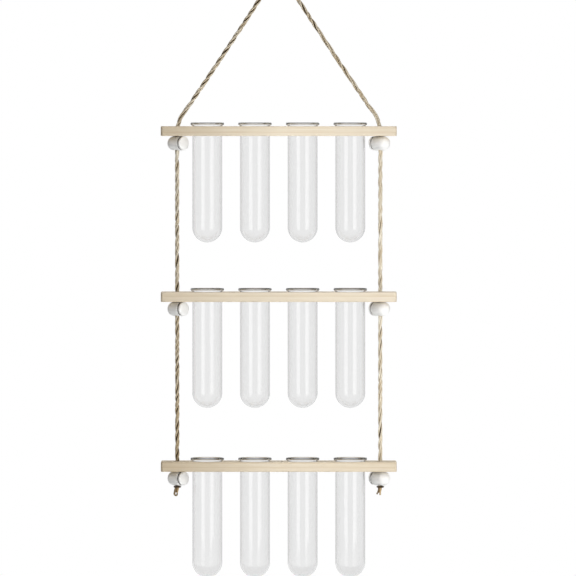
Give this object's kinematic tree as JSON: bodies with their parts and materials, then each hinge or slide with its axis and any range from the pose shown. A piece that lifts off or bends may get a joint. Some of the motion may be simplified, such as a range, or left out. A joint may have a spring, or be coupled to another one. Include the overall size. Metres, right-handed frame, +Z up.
{
  "type": "propagation vase",
  "caption": "Wall-hanging propagation vase: round-bottomed glass tubes held by their lips in wooden bars, tiered on one jute rope with spring cord locks.",
  "frame": {"origin": "where the hook bears on the underside of the rope's bight, at the top", "axes": "+Z up, +X to the right along the bars, -Y to the front, +Y to the wall"},
  "size_m": [0.236, 0.045, 0.6037],
  "materials": {
    "pine": "sanded, unvarnished",
    "glass": "clear, polished",
    "white_plastic": "moulded, satin gloss",
    "jute": "twisted three-strand rope",
    "spring_steel": "drawn wire"
  },
  "bodies": {
    "hanger": {"hanging_rope": "jute", "left_knot": "jute", "right_knot": "jute", "upper_bar": "pine", "upper_left_lock_body": "white_plastic", "upper_left_lock_spring": "spring_steel", "upper_right_lock_body": "white_plastic", "upper_right_lock_spring": "spring_steel"},
    "middle_tier": {"middle_bar": "pine", "middle_left_lock_body": "white_plastic", "middle_left_lock_spring": "spring_steel", "middle_right_lock_body": "white_plastic", "middle_right_lock_spring": "spring_steel"},
    "lower_tier": {"lower_bar": "pine", "lower_left_lock_body": "white_plastic", "lower_left_lock_spring": "spring_steel", "lower_right_lock_body": "white_plastic", "lower_right_lock_spring": "spring_steel"},
    "upper_tube_1": {"upper_tube_1": "glass"},
    "upper_tube_2": {"upper_tube_2": "glass"},
    "upper_tube_3": {"upper_tube_3": "glass"},
    "upper_tube_4": {"upper_tube_4": "glass"},
    "upper_left_lock_button": {"upper_left_lock_button": "white_plastic"},
    "upper_right_lock_button": {"upper_right_lock_button": "white_plastic"},
    "middle_tube_1": {"middle_tube_1": "glass"},
    "middle_tube_2": {"middle_tube_2": "glass"},
    "middle_tube_3": {"middle_tube_3": "glass"},
    "middle_tube_4": {"middle_tube_4": "glass"},
    "middle_left_lock_button": {"middle_left_lock_button": "white_plastic"},
    "middle_right_lock_button": {"middle_right_lock_button": "white_plastic"},
    "lower_tube_1": {"lower_tube_1": "glass"},
    "lower_tube_2": {"lower_tube_2": "glass"},
    "lower_tube_3": {"lower_tube_3": "glass"},
    "lower_tube_4": {"lower_tube_4": "glass"},
    "lower_left_lock_button": {"lower_left_lock_button": "white_plastic"},
    "lower_right_lock_button": {"lower_right_lock_button": "white_plastic"}
  },
  "joints": [
    {"name": "middle_tier_slide", "type": "slide", "parent": "hanger", "child": "middle_tier", "axis": [0, 0, -1], "range_m": [-0.044, 0.044]},
    {"name": "lower_tier_slide", "type": "slide", "parent": "hanger", "child": "lower_tier", "axis": [0, 0, -1], "range_m": [-0.044, 0]},
    {"name": "upper_tube_1_lift", "type": "slide", "parent": "hanger", "child": "upper_tube_1", "axis": [0, 0, 1], "range_m": [0, 0.011]},
    {"name": "upper_tube_2_lift", "type": "slide", "parent": "hanger", "child": "upper_tube_2", "axis": [0, 0, 1], "range_m": [0, 0.078]},
    {"name": "upper_tube_3_lift", "type": "slide", "parent": "hanger", "child": "upper_tube_3", "axis": [0, 0, 1], "range_m": [0, 0.078]},
    {"name": "upper_tube_4_lift", "type": "slide", "parent": "hanger", "child": "upper_tube_4", "axis": [0, 0, 1], "range_m": [0, 0.011]},
    {"name": "upper_left_lock_button_press", "type": "slide", "parent": "hanger", "child": "upper_left_lock_button", "axis": [-0.7071, 0.7071, 0], "range_m": [0, 0.0016], "stiffness_N_per_m": 1500, "springref_m": -0.003, "deforming": ["upper_left_lock_spring"]},
    {"name": "upper_right_lock_button_press", "type": "slide", "parent": "hanger", "child": "upper_right_lock_button", "axis": [0.7071, -0.7071, 0], "range_m": [0, 0.0016], "stiffness_N_per_m": 1500, "springref_m": -0.003, "deforming": ["upper_right_lock_spring"]},
    {"name": "middle_tube_1_lift", "type": "slide", "parent": "middle_tier", "child": "middle_tube_1", "axis": [0, 0, 1], "range_m": [0, 0.044]},
    {"name": "middle_tube_2_lift", "type": "slide", "parent": "middle_tier", "child": "middle_tube_2", "axis": [0, 0, 1], "range_m": [0, 0.044]},
    {"name": "middle_tube_3_lift", "type": "slide", "parent": "middle_tier", "child": "middle_tube_3", "axis": [0, 0, 1], "range_m": [0, 0.044]},
    {"name": "middle_tube_4_lift", "type": "slide", "parent": "middle_tier", "child": "middle_tube_4", "axis": [0, 0, 1], "range_m": [0, 0.044]},
    {"name": "middle_left_lock_button_press", "type": "slide", "parent": "middle_tier", "child": "middle_left_lock_button", "axis": [-0.7071, 0.7071, 0], "range_m": [0, 0.0016], "stiffness_N_per_m": 1500, "springref_m": -0.003, "deforming": ["middle_left_lock_spring"]},
    {"name": "middle_right_lock_button_press", "type": "slide", "parent": "middle_tier", "child": "middle_right_lock_button", "axis": [0.7071, -0.7071, 0], "range_m": [0, 0.0016], "stiffness_N_per_m": 1500, "springref_m": -0.003, "deforming": ["middle_right_lock_spring"]},
    {"name": "lower_tube_1_lift", "type": "slide", "parent": "lower_tier", "child": "lower_tube_1", "axis": [0, 0, 1], "range_m": [0, 0.044]},
    {"name": "lower_tube_2_lift", "type": "slide", "parent": "lower_tier", "child": "lower_tube_2", "axis": [0, 0, 1], "range_m": [0, 0.044]},
    {"name": "lower_tube_3_lift", "type": "slide", "parent": "lower_tier", "child": "lower_tube_3", "axis": [0, 0, 1], "range_m": [0, 0.044]},
    {"name": "lower_tube_4_lift", "type": "slide", "parent": "lower_tier", "child": "lower_tube_4", "axis": [0, 0, 1], "range_m": [0, 0.044]},
    {"name": "lower_left_lock_button_press", "type": "slide", "parent": "lower_tier", "child": "lower_left_lock_button", "axis": [-0.7071, 0.7071, 0], "range_m": [0, 0.0016], "stiffness_N_per_m": 1500, "springref_m": -0.003, "deforming": ["lower_left_lock_spring"]},
    {"name": "lower_right_lock_button_press", "type": "slide", "parent": "lower_tier", "child": "lower_right_lock_button", "axis": [0.7071, -0.7071, 0], "range_m": [0, 0.0016], "stiffness_N_per_m": 1500, "springref_m": -0.003, "deforming": ["lower_right_lock_spring"]}
  ]
}
